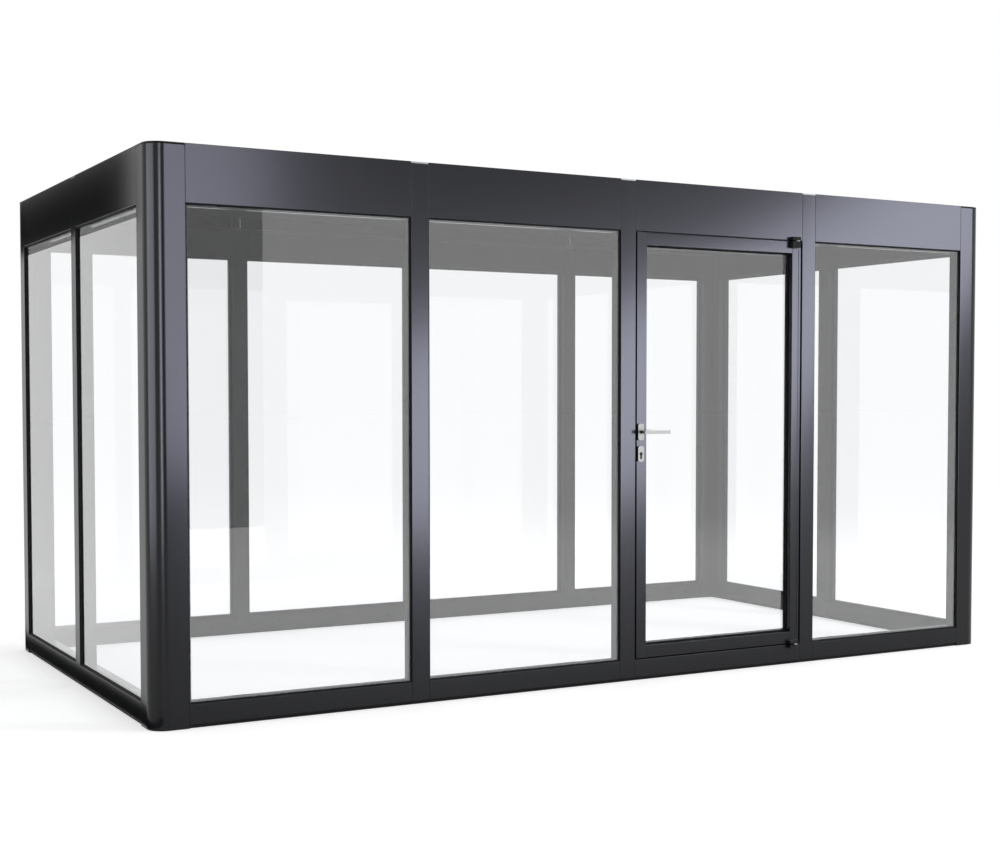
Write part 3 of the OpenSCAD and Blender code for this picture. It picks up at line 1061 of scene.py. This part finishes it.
@dataclass
class Studio:
    """The plain white studio: floor, world, lamps, cards and camera."""

    eye: tuple[float, float, float] = (-4.127, -7.423, 1.377)
    yaw_deg: float = -29.662
    pitch_deg: float = -2.268
    lens_mm: float = 56.26
    shift: tuple[float, float] = (-0.0234, 0.0275)
    ambient: float = 0.66
    floor_lift: float = 0.47

    def build(self) -> None:
        """Makes the studio."""
        scene = bpy.context.scene
        scene.view_settings.view_transform = "Standard"
        self._world(scene)
        self._floor(scene)
        self._camera(scene)
        shy = self._shy()
        for lamp in self._lamps():
            lamp.build(shy)
        for flag in self._flags():
            flag.build(STUDIO_VELVET)

    def _shy(self) -> bpy.types.Collection:
        """Gathers the panes, the fittings and the far walls, which the cards of light leave alone.

        Returns:
            The collection.
        """
        away = ("rear_", "right_", "side_posts", "corner_post_rear")
        shy = bpy.data.collections.new("not_on_fittings")
        for item in bpy.context.scene.objects:
            coated = item.type == "MESH" and POWDER_COAT.material() in item.data.materials[:]
            if item.type == "MESH" and (not coated or item.name.startswith(away)):
                shy.objects.link(item)
        for member in shy.collection_objects:
            member.light_linking.link_state = "EXCLUDE"
        return shy

    def _lamps(self) -> list[Lamp]:
        """Lists the lamps and the cards of light.

        Returns:
            The soft lamps first, then the cards.
        """
        y, lavender, pale = -8.8, "#DCDEF4", "#E4E6F4"
        return [
            Lamp("overhead", (0.5, -0.5, 7.0), (0.0, 0.0, 0.0), (7.0, 5.0), 1.0),
            Lamp("key", (5.6, -6.0, 5.6), (0.2, -1.2, 1.0), (1.0, 1.0), 44.0),
            Lamp("band_card", (3.9, y, 1.15), (3.9, 0.0, 1.15), (4.4, 0.5), 88.0, lavender, 4, 9.0, 0.5),
            Lamp("rise_card", (8.2, y, 2.7), (8.2, 0.0, 2.7), (4.6, 0.5), 80.0, lavender, 4, 28.0, 0.5),
            Lamp("near_card", (0.0, y, 2.4), (0.0, 0.0, 2.4), (0.5, 2.0), 60.0, lavender, 4, 0.0, 0.5),
            Lamp("eye_card", (-4.8, y, 1.9), (-2.3, -1.2, 1.4), (1.2, 3.2), 34.0, pale, 2, 0.0, 0.4),
            Lamp("left_card", (-10.0, -2.3, 1.9), (-2.3, -1.2, 1.4), (6.4, 3.2), 18.0, pale, 2, 0.0, 0.8),
        ]

    def _flags(self) -> list[Flag]:
        """Lists the black cards.

        Returns:
            The cards.
        """
        return [
            Flag("front_flag", (-3.7, -10.25, 0.02), (1.5, -10.2, 4.1)),
            Flag("left_flag", (-2.62, 0.1, 2.235), (-2.6, 5.0, 2.6)),
            Flag("left_floor_flag", (-2.46, -1.4, 0.001), (-2.33, 4.0, 0.003)),
        ]

    def _world(self, scene: bpy.types.Scene) -> None:
        """Sets a white surrounding for what is seen and mirrored, and a softer one for its light.

        Args:
            scene: The scene.
        """
        world = bpy.data.worlds.new("studio")
        world.use_nodes = True
        tree = world.node_tree
        tree.nodes.clear()
        seen = self._seen(tree)
        light = add_node(tree, "ShaderNodeBackground", {"Color": linear("#FFFFFF"), "Strength": self.ambient})
        white = add_node(tree, "ShaderNodeBackground", {"Color": linear("#FFFFFF"), "Strength": 1.0})
        both = add_node(tree, "ShaderNodeMixShader", {}, {0: seen, 1: light.outputs[0], 2: white.outputs[0]})
        add_node(tree, "ShaderNodeOutputWorld", {}, {"Surface": both.outputs[0]})
        scene.world = world

    def _seen(self, tree: bpy.types.NodeTree) -> bpy.types.NodeSocket:
        """Adds a switch that is 1 where a surface is seen, mirrored or looked at through glass.

        Args:
            tree: The node tree that takes it.

        Returns:
            The switch's output.
        """
        path = add_node(tree, "ShaderNodeLightPath")
        direct = add_node(
            tree,
            "ShaderNodeMath",
            {"operation": "MAXIMUM"},
            {0: path.outputs["Is Camera Ray"], 1: path.outputs["Is Glossy Ray"]},
        )
        every = add_node(
            tree,
            "ShaderNodeMath",
            {"operation": "MAXIMUM"},
            {0: direct.outputs[0], 1: path.outputs["Is Transmission Ray"]},
        )
        return every.outputs[0]

    def _floor(self, scene: bpy.types.Scene) -> None:
        """Lays the pale floor, which melts into the white surrounding and keeps the shadow.

        Args:
            scene: The scene.
        """
        work = bmesh.new()
        bmesh.ops.create_grid(work, x_segments=1, y_segments=1, size=90.0)
        bmesh.ops.translate(work, vec=(0, 0, -0.5 * MM), verts=work.verts[:])
        mesh = bpy.data.meshes.new("studio_floor")
        work.to_mesh(mesh)
        work.free()
        floor = bpy.data.objects.new("studio_floor", mesh)
        scene.collection.objects.link(floor)
        made = bpy.data.materials.new("pale_studio_floor")
        made.use_nodes = True
        tree = made.node_tree
        tree.nodes.clear()
        paint = add_node(tree, "ShaderNodeBsdfDiffuse", {"Color": linear("#E8E8E8")})
        gain = add_node(
            tree, "ShaderNodeMath", {"operation": "MULTIPLY", 1: self.floor_lift}, {0: self._seen(tree)}
        )
        lift = add_node(tree, "ShaderNodeEmission", {"Color": linear("#FFFFFF")}, {1: gain.outputs[0]})
        both = add_node(tree, "ShaderNodeAddShader", {}, {0: paint.outputs[0], 1: lift.outputs[0]})
        add_node(tree, "ShaderNodeOutputMaterial", {}, {"Surface": both.outputs[0]})
        mesh.materials.append(made)

    def _camera(self, scene: bpy.types.Scene) -> None:
        """Stands the camera at eye height off the front left corner.

        Args:
            scene: The scene.
        """
        data = bpy.data.cameras.new("camera")
        data.lens = self.lens_mm
        data.sensor_width = 36.0
        data.shift_x, data.shift_y = self.shift
        data.clip_end = 300.0
        camera = bpy.data.objects.new("camera", data)
        camera.location = self.eye
        camera.rotation_euler = (math.radians(90 + self.pitch_deg), 0.0, math.radians(self.yaw_deg))
        scene.collection.objects.link(camera)
        scene.camera = camera


def main() -> None:
    """Builds the house's looks in order, then the studio."""
    logging.basicConfig(level=logging.INFO, format="%(name)s: %(message)s")
    builders: list[Callable[[], None]] = [
        Profiles().build,
        PlainNodes().build,
        GlazingBeads().build,
        Lever("outer_lever", -1.0).build,
        Lever("inner_lever", 1.0).build,
        HouseFittings().build,
        DoorFittings().build,
        RoofFittings().build,
        Studio().build,
    ]
    for build in builders:
        build()


if __name__ == "__main__":
    main()
